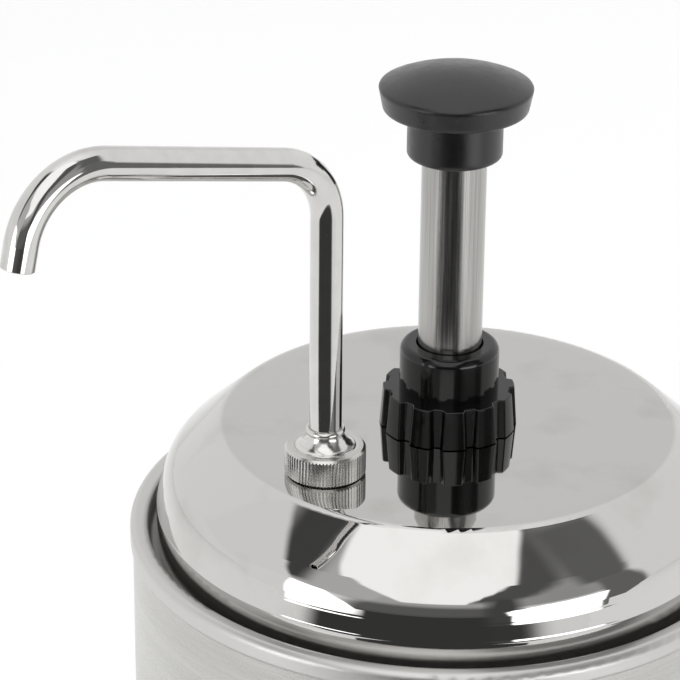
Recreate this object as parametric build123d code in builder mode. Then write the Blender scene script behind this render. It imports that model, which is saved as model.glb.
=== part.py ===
from build123d import *
import os
from math import atan2, cos, degrees, pi, radians, sin, sqrt, tan

# Counter-top warmer for a jar of fudge, with a plunger pump in its lid. Millimetres, +Z up.
# The origin is on the pump's axis, on the counter. The front is towards -Y.
os.makedirs("parts", exist_ok=True)

# ---- Warmer housing ----
body_radius = 95.45
rim_height = 233.0
shell_sheet = 0.8
vessel_sheet = 0.7
rim_width = 5.6
rim_bend = 2.0
rim_hem = 6.0
recess_depth = 6.8
ledge_width = 9.1
ledge_bend = 1.5
well_height = 42.0
well_corner = 8.0
water_gap = 5.8
water_under_jar = 8.3
ring_height = 10.0
ring_sole = 3.0
ring_lip = 4.5
ring_wall = 2.0
ring_rounding = 1.2

# ---- Bottom cover and its fixings ----
cover_sheet = 0.8
cover_height = 6.0
cover_flange = 7.0
cover_bend = 3.0
pan_bend = 2.0
pan_radius = 30.0
pan_rise = 2.5
vent_count = 12
vent_ring = 47.0
vent_length = 22.0
vent_width = 3.5
standoff_count = 4
standoff_inset = 14.5
standoff_flats = 7.0
cover_screw_radius = 2.0
cover_screw_head = 2.2
cover_screw_grip = 8.0

# ---- Heating ----
heater_margin = 7.0
heater_thickness = 5.0
element_inset = 18.0
element_radius = 3.2
element_sink = 2.4
element_sweep = 300.0
cold_end_bend = 8.0
cold_end_drop = 8.0
pin_radius = 0.96
pin_length = 8.0
clamp_overhang = 7.0
clamp_width = 16.0
clamp_thickness = 2.0
clamp_stud_radius = 3.0
clamp_nut_flats = 10.0
clamp_nut_depth = 5.0
block_inset = 34.65
block_width = 38.0
block_depth = 16.0
block_height = 13.0
block_corner = 2.0
terminal_pitch = 18.0
terminal_row = 8.0
terminal_radius = 2.2
terminal_well = 7.0
terminal_screw_length = 5.0

# ---- Thermostat and dial ----
dial_height = 27.0
thermostat_width = 34.0
thermostat_depth = 24.0
thermostat_height = 25.0
thermostat_corner = 3.0
thermostat_neck_wall = 2.2
thermostat_neck_proud = 0.6
saddle_depth = 4.65
saddle_height = 18.0
saddle_overhang = 4.0
thermostat_screw_pitch = 23.0
thermostat_screw_radius = 1.75
thermostat_screw_grip = 5.0
thermostat_screw_head = 3.15
thermostat_head_height = 1.6
probe_radius = 2.0
probe_length = 40.0
probe_x = 14.0
capillary_radius = 0.8
capillary_bend = 4.0
shaft_radius = 3.0
shaft_length = 30.7
shaft_bore_depth = 18.0
dial_stand_off = 2.8
dial_radius = 19.0
dial_skirt = 3.0
dial_chamfer = 1.0
grip_radius = 13.5
grip_depth = 14.0
grip_taper = 3.0
flute_count = 16
flute_radius = 1.8
flute_depth = 0.9

# ---- Cord entry ----
gland_height = 27.0
gland_bore = 4.2
gland_neck = 8.6
gland_flange = 11.0
gland_inside = 12.0
gland_outside = 9.0
gland_flange_depth = 3.0
gland_nut_depth = 4.0

# ---- Jar and lid ----
jar_sheet = 0.7
jar_corner = 9.0
jar_lip_bend = 1.8
jar_bead_bend = 1.1
jar_bead_drop = 2.6
jar_bead_reach = 2.73
lid_sheet = 1.0
lid_rise = 31.5
lid_gap = 2.5
lid_crease_drop = 21.0
lid_edge_drop = 26.0
lid_crease_step = 1.75
lid_shoulder_step = 0.95
lid_cone_run = 16.5
lid_cone_slope = 40.9
lid_crown_bend = 3.0
lid_shoulder_bend = 12.0
lid_crease_bend = 1.5
lid_edge_bend = 1.5

# ---- Pump cylinder and valves ----
tube_radius = 9.525
tube_wall = 1.1
bore_radius = 12.7
cylinder_wall = 1.5
cylinder_lip = 2.0
neck_wall = 3.3
neck_rise = 9.0
flange_reach = 4.6
flange_depth = 3.2
gasket = 0.8
gasket_inset = 0.4
stroke = 57.5
ball_radius = 6.35
ball_lift = 3.0
ball_passage = 1.85
throat_seat = 1.35
throat_length = 4.0
chamber_depth = 32.0
channel_radius = 4.0
channel_drop = 11.0
outlet_seat_rise = 8.0
socket_depth = 10.0
casting_wall = 2.8
ball_pin_radius = 1.0
ball_pin_play = 1.0
suction_wall = 1.2
suction_clearance = 6.3
suction_notch = 7.0

# ---- Plunger ----
piston_disc = 4.0
plug_length = 12.0
tail_radius = 5.0
tail_below_nut = 1.5
seal_length = 7.0
seal_web = 3.4
seal_lip = 0.9
seal_hub_wall = 3.4
washer_thickness = 2.0
seal_nut_flats = 15.0
seal_nut_depth = 5.0
spring_wire = 1.8
spring_turns = 10.5
spring_closed = 41.7
spring_side_play = 0.8
knob_radius = 22.45
knob_neck = 13.95
knob_height = 26.6
knob_dome = 5.3
knob_side = 7.0
knob_side_lean = 1.4
knob_hollow = 1.4
knob_travel_gap = 2.3
knob_socket = 12.0
foot_rounding = 1.4
throat_rounding = 2.5
head_rounding = 1.0
rim_rounding = 0.8
stud_radius = 4.0
stud_grip = 6.0
stud_plug = 4.0

# ---- Locking collar ----
barrel_wall = 5.335
barrel_rounding = 2.2
barrel_lead_in = 0.5
collar_height = 26.2
skirt_height = 12.2
skirt_flare = 0.9
lobe_count = 12
lobe_depth = 1.7
lobe_flank = 52.0
lobe_rounding = 0.7
skirt_rounding = 0.4
lobe_turn = 21.0

# ---- Spout ----
nut_inset = 18.9
nut_radius = 11.9
nut_height = 8.6
nut_wall = 1.8
nut_lip = 1.24
nut_teeth = 72
tooth_depth = 0.35
riser_bearing = 225.0
riser_wall = 1.2
riser_stop = 0.35
ring_thickness = 1.25
fitting_rise = 4.6
fitting_flange_reach = 3.2
spout_radius = 4.7625
spout_wall = 0.8
spout_bearing = 220.0
spout_insertion = 6.0
spout_rise = 80.4
first_bend = 20.1
arm_rise = 13.7
arm_length = 60.4
last_bend = 21.8
last_turn = 90.9
outlet_length = 6.9
outlet_rounding = 0.3
ferrule_flange = 1.8
ferrule_bead = 14.7

# ---- Clearances and finish ----
snug = 0.05
running = 0.08
seat = 0.3
hole_play = 0.25
edge_break = 0.8
overcut = 1.0

# ---- Places that follow from the sizes ----
shell_inside = body_radius - shell_sheet
rim_radius = body_radius + snug + vessel_sheet
recess_radius = rim_radius - rim_width
ledge = rim_height - recess_depth
well_radius = recess_radius - ledge_width
well_floor = well_height + vessel_sheet
jar_radius = well_radius - water_gap
jar_inside = jar_radius - jar_sheet
jar_floor = well_floor + water_under_jar + jar_sheet
lid_top = rim_height + lid_rise
lid_under = lid_top - lid_sheet
skirt_radius = recess_radius - lid_gap
crease_radius = skirt_radius - lid_crease_step
shoulder_radius = crease_radius - lid_shoulder_step
lid_flat = shoulder_radius - lid_cone_run
collar_radius = bore_radius + neck_wall + flange_reach
riser_offset = lid_flat - nut_inset
riser_x = riser_offset * cos(radians(riser_bearing))
riser_y = riser_offset * sin(radians(riser_bearing))
riser_axis = Axis((riser_x, riser_y, 0), (0, 0, 1))
riser_section = Plane(origin=(riser_x, riser_y, 0), x_dir=(1, 0, 0), z_dir=(0, -1, 0))


def save(piece, name):
    """Label a finished piece and write its file."""
    piece.part.label = name
    export_step(piece.part, f"parts/{name}.step")


def band(inner, outer, low, high):
    """Half-section of a ring, with the radius along X and the height along Y."""
    with BuildSketch() as section:
        with Locations(((inner + outer) / 2, (low + high) / 2)):
            Rectangle(outer - inner, high - low)
    return section.sketch


def outline(*points):
    """Half-section of a turned piece, through its corners."""
    with BuildSketch() as section:
        with BuildLine():
            Polyline(*points, close=True)
        make_face()
    return section.sketch


def pressed(points, bends, sheet):
    """Half-section of pressed sheet: the line of its face, rounded at each bend, and its thickness."""
    with BuildSketch() as section:
        with BuildLine():
            FilletPolyline(*points, radius=bends)
            offset(amount=sheet, side=Side.RIGHT)
        make_face()
    return section.sketch


# ======== Housing ========

# Moulded rubber ring that grips the shell's lower edge. The warmer stands on its sole.
with BuildPart() as base_ring:
    with BuildSketch(Plane.XZ):
        add(band(shell_inside - ring_lip, body_radius + ring_wall, 0, ring_height))
        add(band(shell_inside - snug, body_radius + snug, ring_sole, ring_height), mode=Mode.SUBTRACT)
    revolve(axis=Axis.Z)
    outer_edges = base_ring.edges().filter_by(GeomType.CIRCLE).group_by(SortBy.RADIUS)[-1]
    fillet(outer_edges, radius=ring_rounding)
save(base_ring, "base_ring")

# Rolled shell of brushed stainless sheet, with the holes for the thermostat and the cord gland.
shell_top = rim_height - rim_bend - seat
neck_radius_of_thermostat = shaft_radius + running + thermostat_neck_wall
neck_hole = neck_radius_of_thermostat + hole_play
screw_hole = thermostat_screw_radius + hole_play
with BuildPart() as outer_shell:
    with BuildSketch(Plane.XZ):
        add(band(shell_inside, body_radius, ring_sole, shell_top))
    revolve(axis=Axis.Z)
    with BuildSketch(Plane.XZ):
        with Locations((0, dial_height)):
            Circle(neck_hole)
            with GridLocations(thermostat_screw_pitch, 0, 2, 1):
                Circle(screw_hole)
    extrude(amount=2 * body_radius, mode=Mode.SUBTRACT)
    with BuildSketch(Plane.XZ):
        with Locations((0, gland_height)):
            Circle(gland_neck + hole_play)
    extrude(amount=-2 * body_radius, mode=Mode.SUBTRACT)
save(outer_shell, "outer_shell")

# Deep-drawn water vessel. Its rim is rolled over the shell, and its ledge carries the jar and the lid.
with BuildPart() as water_vessel:
    with BuildSketch(Plane.XZ):
        vessel_line = [
            (0, well_floor),
            (well_radius, well_floor),
            (well_radius, ledge),
            (recess_radius, ledge),
            (recess_radius, rim_height),
            (rim_radius, rim_height),
            (rim_radius, rim_height - rim_hem),
        ]
        vessel_bends = [well_corner, ledge_bend, ledge_bend, rim_bend, rim_bend]
        add(pressed(vessel_line, vessel_bends, vessel_sheet))
    revolve(axis=Axis.Z)
save(water_vessel, "water_vessel")

# Bottom cover: a dished sheet with a turned-up flange, cooling slots and the holes for its screws.
cover_radius = shell_inside - ring_lip - seat
cover_top = cover_height + cover_sheet
standoff_ring = well_radius - standoff_inset
standoff_angle = 180 / standoff_count
with BuildPart() as bottom_cover:
    with BuildSketch(Plane.XZ):
        cover_line = [
            (cover_radius, cover_height + cover_flange),
            (cover_radius, cover_height),
            (pan_radius + pan_rise, cover_height),
            (pan_radius, cover_height + pan_rise),
            (0, cover_height + pan_rise),
        ]
        add(pressed(cover_line, [cover_bend, pan_bend, pan_bend], cover_sheet))
    revolve(axis=Axis.Z)
    with BuildSketch(Plane.XY):
        with PolarLocations(vent_ring, vent_count, start_angle=180 / vent_count):
            SlotOverall(vent_length, vent_width)
        with PolarLocations(standoff_ring, standoff_count, start_angle=standoff_angle):
            Circle(cover_screw_radius + hole_play)
    extrude(amount=cover_height + cover_flange, mode=Mode.SUBTRACT)
save(bottom_cover, "bottom_cover")

# Hexagonal standoffs, stud-welded under the vessel, that the bottom cover screws to.
with BuildPart() as standoffs:
    with BuildSketch(Plane.XY.offset(cover_top)):
        with PolarLocations(standoff_ring, standoff_count, start_angle=standoff_angle):
            RegularPolygon(standoff_flats / 2, 6, major_radius=False)
            Circle(cover_screw_radius + snug, mode=Mode.SUBTRACT)
    extrude(amount=well_height - cover_top)
save(standoffs, "standoffs")

# Pan-head screws of the bottom cover.
with BuildPart() as cover_screws:
    with BuildSketch(Plane.XY.offset(cover_height - cover_screw_head)):
        with PolarLocations(standoff_ring, standoff_count, start_angle=standoff_angle):
            Circle(2 * cover_screw_radius)
    extrude(amount=cover_screw_head)
    fillet(cover_screws.edges().group_by(Axis.Z)[0], radius=edge_break)
    with BuildSketch(Plane.XY.offset(cover_height)):
        with PolarLocations(standoff_ring, standoff_count, start_angle=standoff_angle):
            Circle(cover_screw_radius)
    extrude(amount=cover_sheet + cover_screw_grip)
save(cover_screws, "cover_screws")

# ======== Heating ========

# Aluminium heat-spreading plate under the vessel, with a half-round groove for the element.
heater_radius = standoff_ring - heater_margin
element_ring = heater_radius - element_inset
heater_low = well_height - heater_thickness
element_height = heater_low + element_sink - element_radius
with BuildPart() as heater_plate:
    with BuildSketch(Plane.XY.offset(heater_low)):
        Circle(heater_radius)
        Circle(clamp_stud_radius + hole_play, mode=Mode.SUBTRACT)
    extrude(amount=heater_thickness)
    with BuildSketch(Plane.XZ):
        with Locations((element_ring, element_height)):
            Circle(element_radius + snug)
    revolve(axis=Axis.Z, mode=Mode.SUBTRACT)
save(heater_plate, "heater_plate")

# Tubular heating element: an open ring whose cold ends turn down to their terminal pins.
half_gap = radians((360 - element_sweep) / 2)
element_start = Plane((0, 0, 0), (-sin(half_gap), cos(half_gap), 0), (cos(half_gap), sin(half_gap), 0))
with BuildPart() as heating_element:
    with BuildSketch(element_start):
        with Locations((element_ring, element_height)):
            Circle(element_radius)
    revolve(axis=Axis.Z, revolution_arc=element_sweep)
    for side in (-1, 1):
        ring_end = (side * element_ring * sin(half_gap), element_ring * cos(half_gap), element_height)
        onward = (-side * cos(half_gap), sin(half_gap), 0)
        outward = (-onward[1], onward[0], 0)
        sideways = (onward[1], -onward[0], 0)
        with BuildLine(Plane(ring_end, x_dir=onward, z_dir=sideways)) as cold_end:
            turn = JernArc((0, 0), (1, 0), cold_end_bend, -90)
            Line(turn @ 1, turn @ 1 + (turn % 1) * cold_end_drop)
        with BuildSketch(Plane(ring_end, x_dir=outward, z_dir=onward)):
            Circle(element_radius)
        sweep(path=cold_end.wire())
        with Locations(cold_end.wire() @ 1):
            Cylinder(pin_radius, pin_length)
save(heating_element, "heating_element")

# Clamp bar across the element, held up by a nut on the vessel's centre stud.
clamp_top = element_height - element_radius - snug
clamp_low = clamp_top - clamp_thickness
with BuildPart() as clamp_bar:
    with BuildSketch(Plane.XY.offset(clamp_low)):
        SlotOverall(2 * (element_ring + clamp_overhang), clamp_width)
        Circle(clamp_stud_radius + hole_play, mode=Mode.SUBTRACT)
    extrude(amount=clamp_thickness)
save(clamp_bar, "clamp_bar")

nut_underside = clamp_low - clamp_nut_depth
stud_low = nut_underside - clamp_stud_radius
with BuildPart() as clamp_stud:
    with BuildSketch(Plane.XY.offset(stud_low)):
        Circle(clamp_stud_radius)
    extrude(amount=well_height - stud_low)
    chamfer(clamp_stud.edges().group_by(Axis.Z)[0], length=edge_break)
save(clamp_stud, "clamp_stud")

with BuildPart() as clamp_nut:
    with BuildSketch(Plane.XY.offset(nut_underside)):
        RegularPolygon(clamp_nut_flats / 2, 6, major_radius=False)
        Circle(clamp_stud_radius + snug, mode=Mode.SUBTRACT)
    extrude(amount=clamp_nut_depth)
save(clamp_nut, "clamp_nut")

# Ceramic terminal block on the bottom cover, with its clamping screws at the foot of their wells.
block_place = (0, shell_inside - block_inset)
block_top = cover_top + block_height
with BuildPart() as terminal_block:
    with BuildSketch(Plane.XY.offset(cover_top)):
        with Locations(block_place):
            RectangleRounded(block_width, block_depth, block_corner)
    extrude(amount=block_height)
    with BuildSketch(Plane.XY.offset(block_top)):
        with Locations(block_place):
            with GridLocations(terminal_pitch, terminal_row, 2, 2):
                Circle(terminal_radius)
    extrude(amount=-terminal_well, mode=Mode.SUBTRACT)
save(terminal_block, "terminal_block")

with BuildPart() as terminal_screws:
    with BuildSketch(Plane.XY.offset(block_top - terminal_well)):
        with Locations(block_place):
            with GridLocations(terminal_pitch, terminal_row, 2, 2):
                Circle(terminal_radius - snug)
    extrude(amount=terminal_screw_length)
save(terminal_screws, "terminal_screws")

# ======== Thermostat ========

# Saddle that fills the space between the curved shell and the thermostat's flat face.
thermostat_face = shell_inside - saddle_depth
saddle_width = thermostat_width + 2 * saddle_overhang
with BuildPart() as thermostat_saddle:
    with BuildSketch(Plane.XY.offset(dial_height - saddle_height / 2)):
        Circle(shell_inside - snug)
        with Locations((0, -shell_inside)):
            Rectangle(saddle_width, 2 * saddle_depth, mode=Mode.INTERSECT)
    extrude(amount=saddle_height)
    with BuildSketch(Plane.XZ):
        with Locations((0, dial_height)):
            Circle(neck_hole)
            with GridLocations(thermostat_screw_pitch, 0, 2, 1):
                Circle(screw_hole)
    extrude(amount=body_radius, mode=Mode.SUBTRACT)
save(thermostat_saddle, "thermostat_saddle")

# Capillary thermostat: a moulded case with a threaded neck for the dial's shaft.
thermostat_back = thermostat_face - thermostat_depth
neck_tip = body_radius + thermostat_neck_proud
with BuildPart() as thermostat_case:
    with BuildSketch(Plane.XZ.offset(thermostat_back)):
        with Locations((0, dial_height)):
            RectangleRounded(thermostat_width, thermostat_height, thermostat_corner)
    extrude(amount=thermostat_depth)
    with BuildSketch(Plane.XZ.offset(thermostat_face)):
        with Locations((0, dial_height)):
            Circle(neck_radius_of_thermostat)
    extrude(amount=neck_tip - thermostat_face)
    with BuildSketch(Plane.XZ.offset(neck_tip)):
        with Locations((0, dial_height)):
            Circle(shaft_radius + running)
    extrude(amount=-shaft_bore_depth, mode=Mode.SUBTRACT)
    with BuildSketch(Plane.XZ.offset(thermostat_face)):
        with Locations((0, dial_height)):
            with GridLocations(thermostat_screw_pitch, 0, 2, 1):
                Circle(thermostat_screw_radius + snug)
    extrude(amount=-thermostat_screw_grip - overcut, mode=Mode.SUBTRACT)
save(thermostat_case, "thermostat_case")

# Screws through the shell and the saddle into the case. The dial hides their heads.
screw_low = thermostat_face - thermostat_screw_grip
screw_face = sqrt(body_radius**2 - (thermostat_screw_pitch / 2 - thermostat_screw_head) ** 2) + snug
with BuildPart() as thermostat_screws:
    with BuildSketch(Plane.XZ.offset(screw_low)):
        with Locations((0, dial_height)):
            with GridLocations(thermostat_screw_pitch, 0, 2, 1):
                Circle(thermostat_screw_radius)
    extrude(amount=screw_face - screw_low)
    with BuildSketch(Plane.XZ.offset(screw_face)):
        with Locations((0, dial_height)):
            with GridLocations(thermostat_screw_pitch, 0, 2, 1):
                Circle(thermostat_screw_head)
    extrude(amount=thermostat_head_height)
save(thermostat_screws, "thermostat_screws")

# Sensing bulb clamped between the plate and the bar, and the capillary that runs to the case.
probe_height = heater_low - probe_radius - snug / 2
probe_front = -probe_length / 2
capillary_height = dial_height + overcut
with BuildPart() as thermostat_probe:
    with BuildSketch(Plane.XZ.offset(probe_front)):
        with Locations((probe_x, probe_height)):
            Circle(probe_radius)
    extrude(amount=probe_length)
    with BuildLine(Plane.YZ.offset(probe_x)) as capillary:
        FilletPolyline(
            (probe_front + overcut, probe_height),
            (probe_front - 1.5 * capillary_bend, probe_height),
            (probe_front - 3.5 * capillary_bend, capillary_height),
            (-thermostat_back + snug, capillary_height),
            radius=[capillary_bend, capillary_bend],
        )
    with BuildSketch(Plane.XZ.offset(-probe_front - overcut)):
        with Locations((probe_x, probe_height)):
            Circle(capillary_radius)
    sweep(path=capillary.line)
save(thermostat_probe, "thermostat_probe")

# Shaft of the thermostat, with a flat where the dial grips it. It turns with the dial.
dial_back = body_radius + dial_stand_off
shaft_low = neck_tip - shaft_bore_depth + seat
shaft_high = shaft_low + shaft_length
flat_height = dial_height + 1.5 * shaft_radius
with BuildPart() as thermostat_shaft:
    with BuildSketch(Plane.XZ.offset(shaft_low)):
        with Locations((0, dial_height)):
            Circle(shaft_radius)
    extrude(amount=shaft_length)
    with BuildSketch(Plane.XZ.offset(dial_back)):
        with Locations((0, flat_height)):
            Rectangle(2 * shaft_radius, 2 * shaft_radius)
    extrude(amount=shaft_high - dial_back, mode=Mode.SUBTRACT)
save(thermostat_shaft, "thermostat_shaft")

# Moulded dial: a skirt that carries the figures, a fluted grip and a D bore for the shaft.
with BuildPart() as thermostat_dial:
    with BuildSketch(Plane.XZ.offset(dial_back)):
        with Locations((0, dial_height)):
            Circle(dial_radius)
    extrude(amount=dial_skirt)
    chamfer(thermostat_dial.edges().group_by(Axis.Y)[0], length=dial_chamfer)
    with BuildSketch(Plane.XZ.offset(dial_back + dial_skirt)):
        with Locations((0, dial_height)):
            Circle(grip_radius)
            with PolarLocations(grip_radius + flute_radius - flute_depth, flute_count):
                Circle(flute_radius, mode=Mode.SUBTRACT)
    extrude(amount=grip_depth, taper=grip_taper)
    fillet(thermostat_dial.faces().sort_by(Axis.Y)[0].edges(), radius=edge_break)
    with BuildSketch(Plane.XZ.offset(dial_back)):
        with Locations((0, dial_height)):
            Circle(shaft_radius + snug)
        with Locations((0, flat_height + 2 * snug)):
            Rectangle(3 * shaft_radius, 2 * shaft_radius, mode=Mode.SUBTRACT)
    extrude(amount=shaft_high - dial_back + seat, mode=Mode.SUBTRACT)
save(thermostat_dial, "thermostat_dial")

# ======== Cord entry ========

# Nylon gland in the shell's back, with an open bore for a mains cord.
gland_start = shell_inside - gland_inside
gland_face = body_radius + snug
gland_step = gland_face + gland_flange_depth
gland_tip = gland_face + gland_outside
gland_axis = Axis((0, 0, gland_height), (0, 1, 0))
gland_plane = Plane(origin=(0, 0, gland_height), x_dir=(1, 0, 0), z_dir=(0, 0, 1))
with BuildPart() as cord_gland:
    with BuildSketch(gland_plane):
        add(
            outline(
                (gland_bore, gland_start),
                (gland_neck, gland_start),
                (gland_neck, gland_face),
                (gland_flange, gland_face),
                (gland_flange, gland_step - edge_break),
                (gland_flange - edge_break, gland_step),
                (gland_neck - edge_break, gland_step),
                (gland_neck - 3 * edge_break, gland_tip),
                (gland_bore + edge_break, gland_tip),
                (gland_bore, gland_tip - edge_break),
            )
        )
    revolve(axis=gland_axis)
save(cord_gland, "cord_gland")

gland_corner = gland_flange + gland_flange_depth / 2
gland_nut_face = sqrt(shell_inside**2 - gland_corner**2) - snug
with BuildPart() as gland_nut:
    with BuildSketch(Plane.XZ.offset(-gland_nut_face)):
        with Locations((0, gland_height)):
            RegularPolygon(gland_corner, 6)
            Circle(gland_neck + snug, mode=Mode.SUBTRACT)
    extrude(amount=gland_nut_depth)
save(gland_nut, "gland_nut")

# ======== Jar ========

# Deep-drawn stainless jar. Its curled rim stands on the vessel's ledge.
bead_radius = well_radius + jar_bead_reach
bead_foot = ledge + seat
bead_top = bead_foot + jar_bead_drop
with BuildPart() as jar:
    with BuildSketch(Plane.XZ):
        jar_line = [
            (0, jar_floor),
            (jar_inside, jar_floor),
            (jar_inside, bead_top),
            (bead_radius, bead_top),
            (bead_radius, bead_foot),
        ]
        add(pressed(jar_line, [jar_corner, jar_lip_bend, jar_bead_bend], jar_sheet))
    revolve(axis=Axis.Z)
save(jar, "jar")

# ======== Lid ========

# Spun and polished lid: a flat crown, a cone, a rounded shoulder, a crease, an edge and a skirt into the recess.
neck_radius = bore_radius + neck_wall
fitting_neck = nut_radius - nut_wall
shoulder_height = lid_top - lid_cone_run * tan(radians(lid_cone_slope))
with BuildPart() as lid:
    with BuildSketch(Plane.XZ):
        lid_line = [
            (0, lid_top),
            (lid_flat, lid_top),
            (shoulder_radius, shoulder_height),
            (crease_radius, lid_top - lid_crease_drop),
            (skirt_radius, lid_top - lid_edge_drop),
            (skirt_radius, ledge + seat),
        ]
        lid_bends = [lid_crown_bend, lid_shoulder_bend, lid_crease_bend, lid_edge_bend]
        add(pressed(lid_line, lid_bends, lid_sheet))
    revolve(axis=Axis.Z)
    with BuildSketch(Plane.XY.offset(lid_top)):
        Circle(neck_radius + hole_play)
        with Locations((riser_x, riser_y)):
            Circle(fitting_neck + hole_play)
    extrude(amount=-lid_sheet - overcut, mode=Mode.SUBTRACT)
save(lid, "lid")

# ======== Pump ========

# Cylinder: its flange clamps the lid from below, and its threaded neck takes the locking collar.
cylinder_radius = bore_radius + cylinder_wall
flange_top = lid_under - gasket
flange_low = flange_top - flange_depth
neck_top = lid_top + neck_rise
web_under = neck_top + 2 * seat
piston_top = web_under - seat
seal_top = piston_top - piston_disc
seal_low = seal_top - seal_length
washer_low = seal_low - washer_thickness
spring_top = washer_low - 2 * snug
spring_bottom = spring_top - stroke - spring_closed
cylinder_end = spring_bottom - cylinder_lip - snug
chamber_radius = ball_radius + ball_passage
lip_radius = chamber_radius + edge_break
with BuildPart() as pump_cylinder:
    with BuildSketch(Plane.XZ):
        add(
            outline(
                (lip_radius, cylinder_end),
                (cylinder_radius, cylinder_end),
                (cylinder_radius, flange_low),
                (collar_radius, flange_low),
                (collar_radius, flange_top),
                (neck_radius, flange_top),
                (neck_radius, neck_top - edge_break),
                (neck_radius - edge_break, neck_top),
                (bore_radius, neck_top),
                (bore_radius, cylinder_end + cylinder_lip),
                (lip_radius, cylinder_end + cylinder_lip),
            )
        )
    revolve(axis=Axis.Z)
save(pump_cylinder, "pump_cylinder")

# Flat gasket between the cylinder's flange and the lid.
with BuildPart() as cylinder_gasket:
    with BuildSketch(Plane.XZ):
        add(band(neck_radius + snug, collar_radius - gasket_inset, flange_top, lid_under))
    revolve(axis=Axis.Z)
save(cylinder_gasket, "cylinder_gasket")

# Valve body: one casting that holds the intake ball below the cylinder and the outlet ball beside it.
throat_radius = ball_radius - throat_seat
ball_seated = sqrt(ball_radius**2 - throat_radius**2) + snug
socket_floor = cylinder_end - gasket
socket_top = cylinder_end + socket_depth
socket_radius = cylinder_radius + snug
intake_seat = socket_floor - chamber_depth
throat_low = intake_seat - throat_length
suction_radius = chamber_radius + suction_wall
valve_low = throat_low - socket_depth
valve_radius = suction_radius + snug + casting_wall
channel_height = socket_floor - channel_drop
outlet_seat = channel_height + outlet_seat_rise
riser_inside = ball_radius - riser_stop
riser_radius = riser_inside + riser_wall
riser_bore = riser_radius + snug
riser_foot = outlet_seat + ball_seated + ball_lift + sqrt(ball_radius**2 - riser_inside**2) + seat
boss_low = channel_height - channel_radius - casting_wall
boss_top = riser_foot + socket_depth
arm_direction = Plane(
    origin=(0, 0, channel_height),
    x_dir=(-sin(radians(riser_bearing)), cos(radians(riser_bearing)), 0),
    z_dir=(cos(radians(riser_bearing)), sin(radians(riser_bearing)), 0),
)
pin_height = intake_seat + ball_seated + ball_radius + ball_lift + seat + ball_pin_play
pin_plane = Plane(origin=(0, 0, pin_height), x_dir=(0, 0, 1), z_dir=arm_direction.x_dir)
with BuildPart() as valve_body:
    with BuildSketch(Plane.XZ):
        add(
            outline(
                (0, valve_low),
                (valve_radius, valve_low),
                (valve_radius, socket_floor - 2 * casting_wall),
                (socket_radius + casting_wall, socket_floor - casting_wall),
                (socket_radius + casting_wall, socket_top),
                (0, socket_top),
            )
        )
    revolve(axis=Axis.Z)
    with BuildSketch(Plane.XY.offset(boss_low)):
        with Locations((riser_x, riser_y)):
            Circle(riser_bore + casting_wall)
    extrude(amount=boss_top - boss_low)
    with BuildSketch(arm_direction):
        Circle(channel_radius + casting_wall)
    extrude(amount=riser_offset)
    # suction socket, throat, seat, chamber and cylinder socket on the pump's axis
    with BuildSketch(Plane.XZ):
        add(
            outline(
                (0, valve_low),
                (suction_radius + snug, valve_low),
                (suction_radius + snug, throat_low),
                (throat_radius, throat_low),
                (throat_radius, intake_seat),
                (chamber_radius, intake_seat + chamber_radius - throat_radius),
                (chamber_radius, socket_floor),
                (socket_radius, socket_floor),
                (socket_radius, socket_top),
                (0, socket_top),
            )
        )
    revolve(axis=Axis.Z, mode=Mode.SUBTRACT)
    # outlet throat, seat and riser socket
    with BuildSketch(riser_section):
        add(
            outline(
                (0, channel_height),
                (throat_radius, channel_height),
                (throat_radius, outlet_seat),
                (riser_bore, outlet_seat + riser_bore - throat_radius),
                (riser_bore, boss_top),
                (0, boss_top),
            )
        )
    revolve(axis=riser_axis, mode=Mode.SUBTRACT)
    with BuildSketch(arm_direction):
        Circle(channel_radius)
    extrude(amount=riser_offset, mode=Mode.SUBTRACT)
    # cross hole of the pin that keeps the intake ball in
    with BuildSketch(pin_plane):
        Circle(ball_pin_radius + snug)
    extrude(amount=2 * valve_radius, both=True, mode=Mode.SUBTRACT)
save(valve_body, "valve_body")

with BuildPart() as valve_gasket:
    with BuildSketch(Plane.XZ):
        add(band(lip_radius, cylinder_radius, socket_floor, cylinder_end))
    revolve(axis=Axis.Z)
save(valve_gasket, "valve_gasket")

with BuildPart() as ball_pin:
    with BuildSketch(pin_plane):
        Circle(ball_pin_radius)
    extrude(amount=valve_radius, both=True)
save(ball_pin, "ball_pin")

# Two stainless balls. Each lifts off its seat as the pump draws or delivers.
with BuildPart() as intake_ball:
    with Locations((0, 0, intake_seat + ball_seated)):
        Sphere(ball_radius)
save(intake_ball, "intake_ball")

with BuildPart() as outlet_ball:
    with Locations((riser_x, riser_y, outlet_seat + ball_seated)):
        Sphere(ball_radius)
save(outlet_ball, "outlet_ball")

# Suction tube with four round-topped notches at its foot, so that it can't seal against the jar.
suction_foot = jar_floor + suction_clearance
with BuildPart() as suction_tube:
    with BuildSketch(Plane.XZ):
        add(band(suction_radius - suction_wall, suction_radius, suction_foot, throat_low - snug))
    revolve(axis=Axis.Z)
    for across in (Plane.XZ, Plane.YZ):
        with BuildSketch(across):
            with Locations((0, suction_foot)):
                SlotOverall(2 * suction_notch, suction_notch, rotation=90)
        extrude(amount=2 * suction_radius, both=True, mode=Mode.SUBTRACT)
save(suction_tube, "suction_tube")

# Riser from the valve body up to the fitting under the lid.
riser_end = flange_low - overcut
with BuildPart() as riser_tube:
    with BuildSketch(riser_section):
        add(band(riser_inside, riser_radius, riser_foot, riser_end))
    revolve(axis=riser_axis)
save(riser_tube, "riser_tube")

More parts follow.
